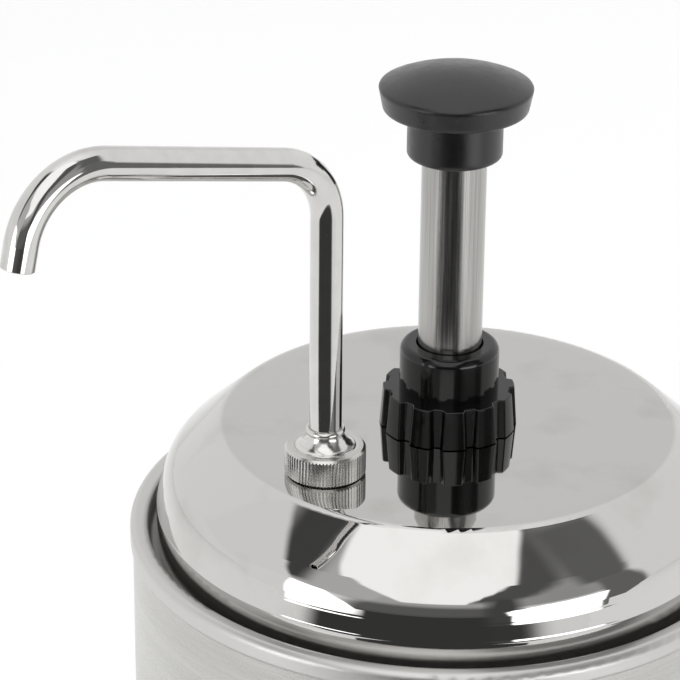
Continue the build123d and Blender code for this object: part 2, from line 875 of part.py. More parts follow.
# Fitting that clamps the lid beside the pump. The spout turns in its bore.
spout_bore = spout_radius + running
ring_room = spout_bore + 2 * ring_thickness + seat
fitting_low = flange_low - socket_depth
fitting_top = lid_top + fitting_rise
ring_floor = fitting_top - 2 * ring_thickness - 2 * snug
fitting_flange = fitting_neck + fitting_flange_reach
with BuildPart() as spout_fitting:
    with BuildSketch(riser_section):
        add(
            outline(
                (riser_bore, fitting_low),
                (riser_bore + casting_wall, fitting_low),
                (riser_bore + casting_wall, flange_low),
                (fitting_flange, flange_low),
                (fitting_flange, flange_top),
                (fitting_neck, flange_top),
                (fitting_neck, fitting_top),
                (ring_room, fitting_top),
                (ring_room, ring_floor),
                (spout_bore, ring_floor),
                (spout_bore, riser_end + snug),
                (riser_bore, riser_end + snug),
            )
        )
    revolve(axis=riser_axis)
save(spout_fitting, "spout_fitting")

with BuildPart() as fitting_gasket:
    with BuildSketch(riser_section):
        add(band(fitting_neck + snug, fitting_flange - gasket_inset, flange_top, lid_under))
    revolve(axis=riser_axis)
save(fitting_gasket, "fitting_gasket")

with BuildPart() as spout_o_ring:
    with BuildSketch(riser_section):
        with Locations((spout_bore + ring_thickness, ring_floor + ring_thickness + snug)):
            Circle(ring_thickness)
    revolve(axis=riser_axis)
save(spout_o_ring, "spout_o_ring")

# ======== Plunger ========

# Brushed tube that carries the piston at its foot and the knob on its top.
knob_low = lid_top + collar_height + stroke + knob_travel_gap
tube_inside = tube_radius - tube_wall
tube_top = knob_low + knob_socket
with BuildPart() as plunger_tube:
    with BuildSketch(Plane.XZ):
        add(band(tube_inside, tube_radius, piston_top, tube_top))
    revolve(axis=Axis.Z)
save(plunger_tube, "plunger_tube")

# Piston with a plug welded into the tube and a threaded tail for the seal and its nut.
plug_radius = tube_inside - snug
tail_low = washer_low - seal_nut_depth - tail_below_nut
piston_radius = bore_radius - seat
with BuildPart() as piston:
    with BuildSketch(Plane.XZ):
        add(
            outline(
                (0, tail_low),
                (tail_radius - edge_break, tail_low),
                (tail_radius, tail_low + edge_break),
                (tail_radius, seal_top),
                (piston_radius, seal_top),
                (piston_radius, piston_top),
                (plug_radius, piston_top),
                (plug_radius, piston_top + plug_length),
                (0, piston_top + plug_length),
            )
        )
    revolve(axis=Axis.Z)
save(piston, "piston")

# Moulded cup seal. Its lip opens downwards, so that pressure spreads it against the bore.
seal_radius = bore_radius - snug
hub_radius = tail_radius + seal_hub_wall
cup_top = seal_top - seal_web
with BuildPart() as piston_seal:
    with BuildSketch(Plane.XZ):
        add(
            outline(
                (tail_radius + snug, seal_top),
                (seal_radius - edge_break, seal_top),
                (seal_radius, seal_top - edge_break),
                (seal_radius, seal_low),
                (seal_radius - seal_lip, seal_low),
                (hub_radius + seal_lip, cup_top),
                (hub_radius, cup_top),
                (hub_radius, seal_low),
                (tail_radius + snug, seal_low),
            )
        )
    revolve(axis=Axis.Z)
save(piston_seal, "piston_seal")

with BuildPart() as seal_washer:
    with BuildSketch(Plane.XZ):
        add(band(tail_radius + snug, seal_radius - seal_lip, washer_low, seal_low))
    revolve(axis=Axis.Z)
save(seal_washer, "seal_washer")

with BuildPart() as seal_nut:
    with BuildSketch(Plane.XY.offset(washer_low - seal_nut_depth)):
        RegularPolygon(seal_nut_flats / 2, 6, major_radius=False)
        Circle(tail_radius + snug, mode=Mode.SUBTRACT)
    extrude(amount=seal_nut_depth)
save(seal_nut, "seal_nut")

# Return spring between the cylinder's lip and the washer.
coil_radius = bore_radius - spring_side_play - spring_wire / 2
coil_low = spring_bottom + spring_wire / 2
coil_length = spring_top - spring_bottom - spring_wire
with BuildPart() as return_spring:
    with BuildLine(Plane.XY.offset(coil_low)) as coil:
        Helix(pitch=coil_length / spring_turns, height=coil_length, radius=coil_radius)
    with BuildSketch(Plane(origin=coil.wire() @ 0, z_dir=coil.wire() % 0)):
        Circle(spring_wire / 2)
    sweep(path=coil.wire())
save(return_spring, "return_spring")

# Plug welded in the tube's top, with the stud that the knob screws onto.
plug_low = knob_low - stud_plug
stud_top = tube_top + stud_grip
with BuildPart() as knob_stud:
    with BuildSketch(Plane.XZ):
        add(
            outline(
                (0, plug_low),
                (plug_radius, plug_low),
                (plug_radius, tube_top),
                (stud_radius, tube_top),
                (stud_radius, stud_top - edge_break),
                (stud_radius - edge_break, stud_top),
                (0, stud_top),
            )
        )
    revolve(axis=Axis.Z)
save(knob_stud, "knob_stud")

# Moulded palm knob: a neck, a hollowed underside, a head that widens to its rim and a dome.
knob_top = knob_low + knob_height
knob_rim = knob_top - knob_dome
head_low = knob_rim - knob_side
head_radius = knob_radius - knob_side_lean
throat = head_low + knob_hollow
dome_radius = (knob_radius**2 + knob_dome**2) / (2 * knob_dome)
dome_middle = knob_top - dome_radius + sqrt(dome_radius**2 - (knob_radius / 2) ** 2)
with BuildPart() as plunger_knob:
    with BuildSketch(Plane.XZ):
        with BuildLine():
            body = Polyline(
                (0, knob_top),
                (0, stud_top + snug),
                (stud_radius + snug, stud_top + snug),
                (stud_radius + snug, tube_top + snug),
                (tube_radius + snug, tube_top + snug),
                (tube_radius + snug, knob_low),
                (knob_neck, knob_low),
                (knob_neck, throat),
                (head_radius, head_low),
                (knob_radius, knob_rim),
            )
            ThreePointArc(body @ 1, (knob_radius / 2, dome_middle), body @ 0)
        make_face()
    revolve(axis=Axis.Z)
    rounded = [
        (knob_neck, knob_low, foot_rounding),
        (knob_neck, throat, throat_rounding),
        (head_radius, head_low, head_rounding),
        (knob_radius, knob_rim, rim_rounding),
    ]
    for radius, height, rounding in rounded:
        ring = Vertex(radius, 0, height)
        fillet(plunger_knob.edges().filter_by(GeomType.CIRCLE).sort_by_distance(ring)[0], radius=rounding)
save(plunger_knob, "plunger_knob")

# ======== Locking collar ========

# Moulded collar: a lobed skirt that threads onto the cylinder's neck, and a barrel that guides the tube.
collar_low = lid_top + seat
collar_top = lid_top + collar_height
skirt_depth = skirt_height - seat
skirt_taper = degrees(atan2(skirt_flare, skirt_height))
barrel_radius = tube_radius + barrel_wall
guide_radius = tube_radius + running
cavity_radius = neck_radius + running
valley_width = pi * collar_radius / lobe_count
with BuildPart() as locking_collar:
    with BuildSketch(Plane.XY.offset(collar_low)):
        Circle(collar_radius)
        with PolarLocations(collar_radius, lobe_count, start_angle=lobe_turn - 90):
            Trapezoid(valley_width + lobe_depth, 2 * lobe_depth, lobe_flank, rotation=90, mode=Mode.SUBTRACT)
    extrude(amount=skirt_depth, taper=skirt_taper)
    lobe_edges = locking_collar.edges().filter_by(lambda edge: abs(edge.tangent_at(0.5).Z) > 0.9)
    fillet(lobe_edges, radius=lobe_rounding)
    fillet(locking_collar.faces().sort_by(Axis.Z)[-1].edges(), radius=skirt_rounding)
    with BuildSketch(Plane.XY.offset(collar_low)):
        Circle(barrel_radius)
    extrude(amount=collar_top - collar_low)
    fillet(locking_collar.edges().filter_by(GeomType.CIRCLE).sort_by(Axis.Z)[-1], radius=barrel_rounding)
    # threaded cavity over the cylinder's neck, guide bore and its lead-in
    with BuildSketch(Plane.XZ):
        add(
            outline(
                (0, collar_low),
                (cavity_radius, collar_low),
                (cavity_radius, web_under),
                (guide_radius, web_under),
                (guide_radius, collar_top - 2 * barrel_lead_in),
                (guide_radius + barrel_lead_in, collar_top),
                (0, collar_top),
            )
        )
    revolve(axis=Axis.Z, mode=Mode.SUBTRACT)
save(locking_collar, "locking_collar")

# ======== Spout ========

# Knurled union nut over the fitting's neck. Its lip holds the ferrule down.
nut_low = lid_top + seat
nut_top = nut_low + nut_height
nut_bore = fitting_neck + running
hub_of_ferrule = fitting_neck - nut_lip
ferrule_low = fitting_top + seat
ferrule_flange_top = ferrule_low + ferrule_flange
lip_under = ferrule_flange_top + running
with BuildPart() as spout_nut:
    with BuildSketch(Plane.XY.offset(nut_low)):
        with Locations((riser_x, riser_y)):
            Circle(nut_radius)
            with PolarLocations(nut_radius, nut_teeth):
                Rectangle(sqrt(2) * tooth_depth, sqrt(2) * tooth_depth, rotation=45, mode=Mode.SUBTRACT)
    extrude(amount=nut_height)
    # chamfers of the knurl, the lip and the bore
    with BuildSketch(riser_section):
        add(
            outline(
                (nut_bore, nut_low),
                (nut_radius - 2 * tooth_depth, nut_low),
                (nut_radius, nut_low + 2 * tooth_depth),
                (nut_radius, nut_top - edge_break),
                (nut_radius - edge_break, nut_top),
                (hub_of_ferrule + running, nut_top),
                (hub_of_ferrule + running, lip_under),
                (nut_bore, lip_under),
            )
        )
    revolve(axis=riser_axis, mode=Mode.INTERSECT)
save(spout_nut, "spout_nut")

# Turned ferrule brazed round the spout: a flange, a hub, a hollow flare and a bead.
ferrule_top = lid_top + ferrule_bead
bead_low = ferrule_top - 1.7
flare_height = (nut_top + bead_low) / 2 - 0.2
with BuildPart() as spout_ferrule:
    with BuildSketch(riser_section):
        with BuildLine():
            body = Polyline(
                (spout_radius + snug, ferrule_top),
                (spout_radius + snug, ferrule_low),
                (fitting_neck - 4 * snug, ferrule_low),
                (fitting_neck - 4 * snug, ferrule_flange_top),
                (hub_of_ferrule, ferrule_flange_top),
                (hub_of_ferrule, nut_top + 2 * snug),
            )
            flare = ThreePointArc(body @ 1, (spout_radius + 1.6, flare_height), (spout_radius + 0.7, bead_low))
            bead = ThreePointArc(flare @ 1, (spout_radius + 1.0, bead_low + 0.9), (spout_radius + 0.5, ferrule_top))
            Line(bead @ 1, body @ 0)
        make_face()
    revolve(axis=riser_axis)
save(spout_ferrule, "spout_ferrule")

# Bent spout: it stands in the fitting, leans out over the rim and turns down to its square-cut end.
spout_angle = radians(spout_bearing)
spout_foot = lid_top - spout_insertion
spout_plane = Plane(
    origin=(riser_x, riser_y, 0),
    x_dir=(cos(spout_angle), sin(spout_angle), 0),
    z_dir=(sin(spout_angle), -cos(spout_angle), 0),
)
with BuildPart() as spout_tube:
    with BuildLine(spout_plane) as route:
        upright = Line((0, spout_foot), (0, lid_top + spout_rise))
        knee = JernArc(upright @ 1, upright % 1, first_bend, arm_rise - 90)
        arm = Line(knee @ 1, knee @ 1 + (knee % 1) * arm_length)
        crook = JernArc(arm @ 1, arm % 1, last_bend, -last_turn)
        Line(crook @ 1, crook @ 1 + (crook % 1) * outlet_length)
    with BuildSketch(Plane.XY.offset(spout_foot)):
        with Locations((riser_x, riser_y)):
            Circle(spout_radius)
            Circle(spout_radius - spout_wall, mode=Mode.SUBTRACT)
    sweep(path=route.wire())
    outlet_edges = spout_tube.edges().filter_by(GeomType.CIRCLE).sort_by_distance(route.wire() @ 1)[:2]
    fillet(outlet_edges, radius=outlet_rounding)
save(spout_tube, "spout_tube")
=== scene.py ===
from math import atan2, cos, pi, radians, sin

import bpy
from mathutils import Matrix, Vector


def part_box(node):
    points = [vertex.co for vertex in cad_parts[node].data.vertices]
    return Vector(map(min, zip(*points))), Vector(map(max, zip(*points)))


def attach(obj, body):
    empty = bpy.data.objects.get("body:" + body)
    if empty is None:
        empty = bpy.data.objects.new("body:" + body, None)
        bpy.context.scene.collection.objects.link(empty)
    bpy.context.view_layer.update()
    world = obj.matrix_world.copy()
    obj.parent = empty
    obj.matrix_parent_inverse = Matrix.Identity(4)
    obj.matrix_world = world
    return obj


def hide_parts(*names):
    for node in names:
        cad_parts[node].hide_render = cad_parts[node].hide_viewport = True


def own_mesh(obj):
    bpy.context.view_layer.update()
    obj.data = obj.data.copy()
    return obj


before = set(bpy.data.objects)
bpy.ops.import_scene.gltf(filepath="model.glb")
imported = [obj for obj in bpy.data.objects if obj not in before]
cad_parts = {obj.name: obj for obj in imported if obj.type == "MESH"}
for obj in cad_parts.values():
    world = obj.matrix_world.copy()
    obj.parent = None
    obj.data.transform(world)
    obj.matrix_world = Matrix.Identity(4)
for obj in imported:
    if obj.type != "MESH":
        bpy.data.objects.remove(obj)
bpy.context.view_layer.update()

# ======== Base ring ========
# Rubber ring pressed over the shell's lower edge. EPDM, compression moulded in a blasted
# tool, so it is black and dull, with a fine even grain and paler rubbed patches.
RUBBER_GRAIN = 0.5
RUBBER_RUB = 14.0


def tint(code):
    """sRGB hex colour as a linear colour with full opacity."""
    parts = [int(code[k : k + 2], 16) / 255 for k in (1, 3, 5)]
    return (*(c / 12.92 if c < 0.04045 else ((c + 0.055) / 1.055) ** 2.4 for c in parts), 1)


def add(tree, kind, inputs=None, **settings):
    """Add a node to a tree, with its settings, and the values or links of its inputs."""
    made = tree.nodes.new(kind)
    for key, value in settings.items():
        setattr(made, key, value)
    for key, value in (inputs or {}).items():
        if isinstance(value, bpy.types.NodeSocket):
            tree.links.new(value, made.inputs[key])
        else:
            made.inputs[key].default_value = value
    return made


def material(name, metallic=0.0, ior=1.5):
    """A new material: its tree, its shader and the place on the piece in millimetres."""
    made = bpy.data.materials.new(name)
    made.use_nodes = True
    tree = made.node_tree
    shader = tree.nodes["Principled BSDF"]
    shader.inputs["Metallic"].default_value = metallic
    if not metallic:
        shader.inputs["IOR"].default_value = ior
    here = add(tree, "ShaderNodeTexCoord").outputs["Object"]
    mm = add(tree, "ShaderNodeVectorMath", {0: here, "Scale": 1000.0}, operation="SCALE")
    return made, tree, shader, mm.outputs[0]


def mottle(tree, place, size, detail=2.0):
    """Cloudy pattern from 0 to 1 with patches of one size in millimetres."""
    cloud = add(tree, "ShaderNodeTexNoise", {"Vector": place, "Scale": 1 / size, "Detail": detail})
    return cloud.outputs["Fac"]


def spread(tree, value, low, high, start=0.3, end=0.7):
    """A pattern's middle range stretched to run from low to high."""
    ends = {"Value": value, "From Min": start, "From Max": end, "To Min": low, "To Max": high}
    return add(tree, "ShaderNodeMapRange", ends).outputs[0]


def colours(tree, shader, value, first, second):
    """Base colour that goes from one sRGB colour to another with a pattern."""
    ends = {"Factor": value, 6: tint(first), 7: tint(second)}
    mixed = add(tree, "ShaderNodeMix", ends, data_type="RGBA")
    tree.links.new(mixed.outputs[2], shader.inputs["Base Color"])


def relief(tree, shader, height, depth, below=None):
    """Surface relief of a depth in millimetres."""
    inputs = {"Height": height, "Distance": depth / 1000, "Strength": 1.0}
    if below is not None:
        inputs["Normal"] = below
    bump = add(tree, "ShaderNodeBump", inputs)
    tree.links.new(bump.outputs[0], shader.inputs["Normal"])
    return bump.outputs[0]


def wear(made, *names):
    """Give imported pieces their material."""
    for name in names:
        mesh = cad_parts[name].data
        mesh.materials.clear()
        mesh.materials.append(made)
        mesh.polygons.foreach_set("material_index", [0] * len(mesh.polygons))


rubber, tree, shader, place = material("moulded EPDM rubber", ior=1.52)
rub = spread(tree, mottle(tree, place, RUBBER_RUB), 0, 1)
colours(tree, shader, rub, "#191919", "#242423")
tree.links.new(spread(tree, rub, 0.62, 0.78, 0, 1), shader.inputs["Roughness"])
relief(tree, shader, mottle(tree, place, RUBBER_GRAIN), 0.03)
wear(rubber, "base_ring")

# ======== Outer shell ========
# Rolled stainless sheet, brushed along its length before rolling, so its scratches run round
# it. The eye sees fine level lines and a highlight that is drawn out up and down.
BRUSH_LINE = 0.35
BRUSH_LENGTH = 30.0
SHELL_BAND = 9.0


def brushed(tree, place, line, length, along):
    """Scratches one line wide and many millimetres long, that run along one axis of place."""
    scale = [1 / line] * 3
    for axis in along:
        scale[axis] = 1 / length
    drawn = add(tree, "ShaderNodeVectorMath", {0: place, 1: scale}, operation="MULTIPLY")
    return mottle(tree, drawn.outputs[0], 1.0, 3.0)


shell, tree, shader, place = material("brushed stainless sheet", metallic=1.0)
scratch = brushed(tree, place, BRUSH_LINE, BRUSH_LENGTH, (0, 1))
band = brushed(tree, place, SHELL_BAND, 400.0, (0, 1))
tone = add(tree, "ShaderNodeMath", {0: scratch, 1: band}, operation="ADD").outputs[0]
colours(tree, shader, spread(tree, tone, 0, 1, 0.6, 1.4), "#b9b8b5", "#cfcecb")
tree.links.new(spread(tree, scratch, 0.22, 0.36), shader.inputs["Roughness"])
relief(tree, shader, scratch, 0.012)
wear(shell, "outer_shell")

# ======== Water vessel ========
# Deep-drawn stainless vessel with a rolled rim, finished with a fine belt. Its rim shines
# softly, with faint lines round it. The groove inside the rim has painted shade: its colour
# is darker than the rim's, and it is also rougher. Heights and radii are in millimetres.
DRAW_LINE = 0.25
GROOVE_LOW = 228.0
GROOVE_HIGH = 232.2
GROOVE_WALL = 90.8
RIM_MIDDLE = 92.5
GROOVE_DULL = 0.15
RIM_ROUNDING = 0.0015


def round_about(tree, place, centre=(0, 0), upright=True):
    """Place on a turned piece: how far round, how far out and how far along its axis, in mm."""
    split = add(tree, "ShaderNodeSeparateXYZ", {0: place})
    x, y, z = split.outputs
    if not upright:
        y, z = z, y
    x = add(tree, "ShaderNodeMath", {0: x, 1: centre[0]}, operation="SUBTRACT").outputs[0]
    y = add(tree, "ShaderNodeMath", {0: y, 1: centre[1]}, operation="SUBTRACT").outputs[0]
    flat = add(tree, "ShaderNodeCombineXYZ", {0: x, 1: y})
    out = add(tree, "ShaderNodeVectorMath", {0: flat.outputs[0]}, operation="LENGTH")
    turn = add(tree, "ShaderNodeMath", {0: y, 1: x}, operation="ARCTAN2").outputs[0]
    ends = {0: turn, 1: out.outputs["Value"], 2: z}
    return add(tree, "ShaderNodeCombineXYZ", ends).outputs[0]


def lathe_lines(tree, turned, line, turns=0.5):
    """Rings left by turning, spinning or belting, one line wide."""
    scale = (turns, 1 / line, 1 / line)
    drawn = add(tree, "ShaderNodeVectorMath", {0: turned, 1: scale}, operation="MULTIPLY")
    return mottle(tree, drawn.outputs[0], 1.0, 2.0)


vessel, tree, shader, place = material("deep-drawn stainless, belt finished", metallic=1.0)
turned = round_about(tree, place)
ring = lathe_lines(tree, turned, DRAW_LINE)
split = add(tree, "ShaderNodeSeparateXYZ", {0: turned})
above = spread(tree, split.outputs[2], 0, 1, GROOVE_LOW, GROOVE_HIGH)
beyond = spread(tree, split.outputs[1], 0, 1, GROOVE_WALL, RIM_MIDDLE)
bright = add(tree, "ShaderNodeMath", {0: above, 1: beyond}, operation="MAXIMUM").outputs[0]
# Painted shade: where bright is 0, in the groove inside the rim, the colour is the darker one.
colours(tree, shader, bright, "#a3a19e", "#d0cfcd")
ends = {0: spread(tree, ring, 0.34, 0.44), 1: spread(tree, bright, GROOVE_DULL, 0, 0, 1)}
dull = add(tree, "ShaderNodeMath", ends, operation="ADD").outputs[0]
tree.links.new(dull, shader.inputs["Roughness"])
rounded = add(tree, "ShaderNodeBevel", {"Radius": RIM_ROUNDING}, samples=8).outputs[0]
relief(tree, shader, ring, 0.002, rounded)
wear(vessel, "water_vessel")

# ======== Bottom cover and its fixings ========
# Aluminised steel cover with cooling slots, dull and faintly clouded from the mill.
CLOUD = 6.0
cover, tree, shader, place = material("aluminised steel, mill finish", metallic=1.0)
cloud = mottle(tree, place, CLOUD, 4.0)
colours(tree, shader, spread(tree, cloud, 0, 1), "#a9abac", "#bcbebf")
tree.links.new(spread(tree, cloud, 0.38, 0.52), shader.inputs["Roughness"])
relief(tree, shader, mottle(tree, place, 0.6), 0.004)
wear(cover, "bottom_cover")

# Standoffs, screws, stud and pins, turned or headed and bright zinc plated: clean and a
# little blue, with fine turning rings.
zinc, tree, shader, place = material("zinc plated steel, bright", metallic=1.0)
colours(tree, shader, spread(tree, mottle(tree, place, 2.0), 0, 1), "#c2c6ca", "#cfd0cd")
shader.inputs["Roughness"].default_value = 0.26
relief(tree, shader, mottle(tree, place, 0.4), 0.003)
fixings = ["standoffs", "cover_screws", "clamp_stud", "clamp_nut", "terminal_screws"]
wear(zinc, *fixings, "thermostat_screws", "ball_pin")

# ======== Heater ========
# Milled aluminium spreading plate: pale and soft-looking, with the cutter's fine arcs.
plate, tree, shader, place = material("milled aluminium", metallic=1.0)
ring = lathe_lines(tree, round_about(tree, place, (120.0, 0)), 0.6)
colours(tree, shader, spread(tree, ring, 0, 1), "#c9cbcc", "#d9dadb")
tree.links.new(spread(tree, ring, 0.3, 0.42), shader.inputs["Roughness"])
relief(tree, shader, ring, 0.01)
wear(plate, "heater_plate")

# Nickel alloy sheath of the element, swaged and annealed: dark, stained brown by heat.
sheath, tree, shader, place = material("heat-stained alloy sheath", metallic=1.0)
stain = spread(tree, mottle(tree, place, 18.0), 0, 1)
colours(tree, shader, stain, "#6f6b66", "#8a7766")
tree.links.new(spread(tree, stain, 0.38, 0.5, 0, 1), shader.inputs["Roughness"])
relief(tree, shader, mottle(tree, place, 0.5), 0.006)
wear(sheath, "heating_element")

# Clamp bar of flat bar stock, dull from rolling.
bar, tree, shader, place = material("rolled steel bar", metallic=1.0)
scale = brushed(tree, place, 0.5, 20.0, (0,))
colours(tree, shader, spread(tree, scale, 0, 1), "#a2a3a3", "#b9b9b8")
tree.links.new(spread(tree, scale, 0.38, 0.5), shader.inputs["Roughness"])
relief(tree, shader, scale, 0.01)
wear(bar, "clamp_bar")

# Steatite terminal block, pressed and fired without glaze: chalky white with faint specks.
steatite, tree, shader, place = material("unglazed steatite", ior=1.6)
speck = mottle(tree, place, 1.2, 4.0)
colours(tree, shader, spread(tree, speck, 0, 1, 0.35, 0.6), "#d8d2c2", "#ece8dc")
shader.inputs["Roughness"].default_value = 0.6
relief(tree, shader, mottle(tree, place, 0.4), 0.01)
wear(steatite, "terminal_block")

# ======== Thermostat and dial ========
# Thermoset case, compression moulded: even grey with a slight sheen.
case, tree, shader, place = material("moulded grey thermoset", ior=1.55)
flow = spread(tree, mottle(tree, place, 8.0, 3.0), 0, 1)
colours(tree, shader, flow, "#a6a6a4", "#b2b1ae")
tree.links.new(spread(tree, flow, 0.42, 0.52, 0, 1), shader.inputs["Roughness"])
relief(tree, shader, mottle(tree, place, 0.6), 0.01)
wear(case, "thermostat_case")

# Saddle, gland and gland nut of glass-filled nylon: black, dull, with pale flow marks.
nylon, tree, shader, place = material("moulded glass-filled nylon", ior=1.53)
flow = spread(tree, mottle(tree, place, 5.0, 3.0), 0, 1)
colours(tree, shader, flow, "#171717", "#222222")
tree.links.new(spread(tree, flow, 0.42, 0.56, 0, 1), shader.inputs["Roughness"])
relief(tree, shader, mottle(tree, place, 0.35), 0.015)
wear(nylon, "thermostat_saddle", "cord_gland", "gland_nut")

# Drawn copper bulb and capillary, gone brown in places from handling and heat.
copper, tree, shader, place = material("drawn copper, toned", metallic=1.0)
tone = spread(tree, mottle(tree, place, 9.0), 0, 1)
colours(tree, shader, tone, "#c98a63", "#a8694a")
tree.links.new(spread(tree, tone, 0.24, 0.4, 0, 1), shader.inputs["Roughness"])
relief(tree, shader, mottle(tree, place, 0.5), 0.004)
wear(copper, "thermostat_probe")

# Turned steel shaft: bright, with fine rings.
shaft, tree, shader, place = material("turned steel", metallic=1.0)
ring = lathe_lines(tree, round_about(tree, place, (0, 27.0), upright=False), 0.4)
colours(tree, shader, spread(tree, ring, 0, 1), "#c6c5c3", "#d6d5d3")
tree.links.new(spread(tree, ring, 0.2, 0.3), shader.inputs["Roughness"])
relief(tree, shader, ring, 0.003)
wear(shaft, "thermostat_shaft")

# Phenolic dial, compression moulded with its fluted grip and pushed on the shaft. It is
# semi-gloss black with a faint grain.
DIAL_CENTRE = Vector((0, 0, 0.027))
dial, tree, shader, place = material("moulded phenolic, semi-gloss", ior=1.6)
flow = spread(tree, mottle(tree, place, 6.0, 3.0), 0, 1)
colours(tree, shader, flow, "#131313", "#1b1b1b")
tree.links.new(spread(tree, flow, 0.28, 0.36, 0, 1), shader.inputs["Roughness"])
relief(tree, shader, mottle(tree, place, 0.5), 0.006)
wear(dial, "thermostat_dial")

# Figures from 0 to 10 round the dial's skirt, 30 degrees apart like its steps, filled with
# off-white paint. They run against the clock, so that turning with it raises the setting.
SKIRT_FACE = -0.10125
FIGURE_HEIGHT = 0.0032
FONT_BODY = 1.38
FIGURE_RING = 0.01585
PAINT = 0.00012
paint, tree, shader, place = material("off-white filling paint", ior=1.5)
colours(tree, shader, spread(tree, mottle(tree, place, 1.5), 0, 1), "#dedcd2", "#eae8e0")
shader.inputs["Roughness"].default_value = 0.5
relief(tree, shader, mottle(tree, place, 0.3), 0.01)
for step in range(11):
    turn = radians(30.0 * step)
    line = bpy.data.curves.new(f"figure {step}", "FONT")
    line.body = str(step)
    line.size = FIGURE_HEIGHT * FONT_BODY
    line.extrude = PAINT / 2
    line.align_x = "CENTER"
    line.align_y = "CENTER"
    figure = bpy.data.objects.new(f"dial_figure_{step}", line)
    bpy.context.scene.collection.objects.link(figure)
    out = Vector((sin(-turn), 0, cos(turn)))
    figure.location = DIAL_CENTRE + out * FIGURE_RING + Vector((0, SKIRT_FACE, 0))
    figure.rotation_euler = (pi / 2, -turn, 0)
    line.materials.append(paint)
    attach(figure, "dial")

# Index line printed in black ink on the shell over the dial, to read the figures against.
INDEX = Vector((0.0011, 0.00012, 0.0036))
INDEX_PLACE = Vector((0, -0.09545, 0.0495))
ink, tree, shader, place = material("black printing ink", ior=1.5)
colours(tree, shader, spread(tree, mottle(tree, place, 1.5), 0, 1), "#151515", "#1e1e1e")
shader.inputs["Roughness"].default_value = 0.45
relief(tree, shader, mottle(tree, place, 0.3), 0.004)
corners = [(x, y, z) for z in (-0.5, 0.5) for y in (-0.5, 0.5) for x in (-0.5, 0.5)]
sides = [(0, 2, 3, 1), (4, 5, 7, 6), (0, 1, 5, 4), (2, 6, 7, 3), (0, 4, 6, 2), (1, 3, 7, 5)]
mesh = bpy.data.meshes.new("dial_index")
mesh.from_pydata([Vector(corner) * INDEX + INDEX_PLACE for corner in corners], [], sides)
mesh.materials.append(ink)
index = bpy.data.objects.new("dial_index", mesh)
bpy.context.scene.collection.objects.link(index)
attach(index, "warmer")

# ======== Jar ========
# Deep-drawn stainless jar with a curled rim that hangs over the vessel's ledge. It is satin
# inside and out, with faint lines round its wall.
jar, tree, shader, place = material("deep-drawn stainless, satin", metallic=1.0)
ring = lathe_lines(tree, round_about(tree, place), 0.3)
colours(tree, shader, spread(tree, mottle(tree, place, 25.0), 0, 1), "#cccbc8", "#d9d8d6")
tree.links.new(spread(tree, ring, 0.2, 0.3), shader.inputs["Roughness"])
relief(tree, shader, ring, 0.005)
wear(jar, "jar")

# ======== Lid ========
# Spun stainless lid, buffed to a mirror. It mirrors the studio sharply, with faint rings
# from the buff and a few hand smudges that only soften the gloss. Its shading leans a
# little from the plain profile. That table is fitted and isn't a measured shape: it
# holds millimetres along the profile, which is the radius plus the drop, and degrees.
BUFF_LINE = 0.5
SMUDGE = 22.0
WAVE = 26.0
LID_TOP = 264.5
LID_REACH = 130.0
LEAN_RANGE = 60.0
LEAN = [
    (63, 0),
    (67.8, 6),
    (70.7, -8),
    (78.4, -3.5),
    (94.3, 3.5),
    (103, 0),
    (107, 0),
    (107.8, 14),
    (113.4, 14),
    (114.4, 0),
]
lid, tree, shader, place = material("spun stainless, mirror buffed", metallic=1.0)
turned = round_about(tree, place)
ring = lathe_lines(tree, turned, BUFF_LINE, 1.5)
smudge = spread(tree, mottle(tree, place, SMUDGE, 4.0), 0, 1, 0.52, 0.72)
colours(tree, shader, smudge, "#cfcecc", "#c6c5c2")
shine = add(tree, "ShaderNodeMath", {0: smudge, 1: 0.04, 2: 0.03}, operation="MULTIPLY_ADD")
tree.links.new(shine.outputs[0], shader.inputs["Roughness"])
split = add(tree, "ShaderNodeSeparateXYZ", {0: turned})
lean = add(tree, "ShaderNodeFloatCurve")
drop = add(tree, "ShaderNodeMath", {0: LID_TOP, 1: split.outputs[2]}, operation="SUBTRACT")
reach = add(tree, "ShaderNodeMath", {0: split.outputs[1], 1: drop.outputs[0]}, operation="ADD")
reach = add(tree, "ShaderNodeMath", {0: reach.outputs[0], 1: LID_REACH}, operation="DIVIDE")
tree.links.new(reach.outputs[0], lean.inputs["Value"])
points = lean.mapping.curves[0].points
points[0].location = (0, 0.5)
points[1].location = (1, 0.5)
for along, tilt in LEAN:
    points.new(along / LID_REACH, 0.5 + tilt / LEAN_RANGE)
for point in points:
    point.handle_type = "VECTOR"
lean.mapping.update()
half = radians(LEAN_RANGE / 2)
angle = {"Value": lean.outputs[0], "To Min": -half, "To Max": half}
angle = add(tree, "ShaderNodeMapRange", angle).outputs[0]
x, y, _ = add(tree, "ShaderNodeSeparateXYZ", {0: place}).outputs
back = add(tree, "ShaderNodeMath", {0: y, 1: -1.0}, operation="MULTIPLY").outputs[0]
axle = add(tree, "ShaderNodeCombineXYZ", {0: back, 1: x}).outputs[0]
facing = add(tree, "ShaderNodeNewGeometry").outputs["Normal"]
rolled = {"Vector": facing, "Axis": axle, "Angle": angle}
rolled = add(tree, "ShaderNodeVectorRotate", rolled, rotation_type="AXIS_ANGLE").outputs[0]
waves = relief(tree, shader, mottle(tree, place, WAVE, 1.0), 0.012, rolled)
relief(tree, shader, ring, 0.0003, waves)
wear(lid, "lid")

